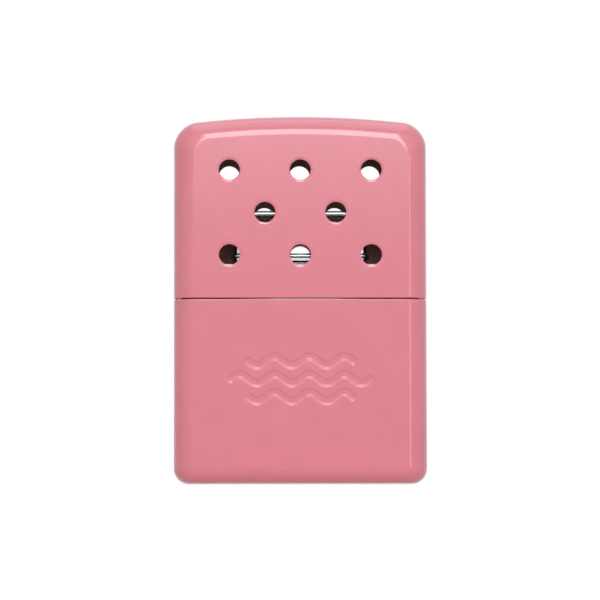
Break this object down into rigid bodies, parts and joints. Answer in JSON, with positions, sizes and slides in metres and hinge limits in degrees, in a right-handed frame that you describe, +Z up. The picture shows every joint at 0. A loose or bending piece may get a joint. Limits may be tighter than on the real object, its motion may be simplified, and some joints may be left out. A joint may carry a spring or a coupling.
{
  "type": "catalytic hand warmer",
  "caption": "Pocket catalytic hand warmer: vented slip-on lid, fuel tank with collar and neck, lift-off burner with gauze and catalyst, felt pad and cotton wads",
  "frame": {"origin": "middle of the base, on the surface that the hand warmer stands on", "axes": "+Z up through the lid, front face with all eight vents towards -Y, +X to the right seen from the front"},
  "size_m": [0.051, 0.013, 0.0743],
  "materials": {
    "case_paint": "glossy pink enamel over drawn sheet",
    "bright_plate": "bright plated sheet with fine drawing marks",
    "burner_steel": "plain steel wire and plate, lightly heat tinted",
    "catalyst_fibre": "dark matted glass fibre that carries the catalyst",
    "felt": "dense off-white felt",
    "cotton": "loose white cotton wadding"
  },
  "bodies": {
    "tank": {"tank_shell": "case_paint", "tank_collar": "bright_plate", "tank_neck": "bright_plate", "wick_pad": "felt", "cotton_wad_1": "cotton", "cotton_wad_2": "cotton", "cotton_wad_3": "cotton"},
    "lid": {"lid": "case_paint"},
    "burner": {"burner_base": "bright_plate", "diffuser_plate": "burner_steel", "catalyst_mat": "catalyst_fibre", "gauze_front": "burner_steel", "gauze_rear": "burner_steel", "burner_strap": "bright_plate", "burner_rivets": "burner_steel"}
  },
  "joints": [
    {"name": "lid_slide", "type": "slide", "parent": "tank", "child": "lid", "axis": [0, 0, 1], "range_m": [0, 0.03]},
    {"name": "burner_lift", "type": "slide", "parent": "tank", "child": "burner", "axis": [0, 0, 1], "range_m": [0, 0.012]}
  ]
}
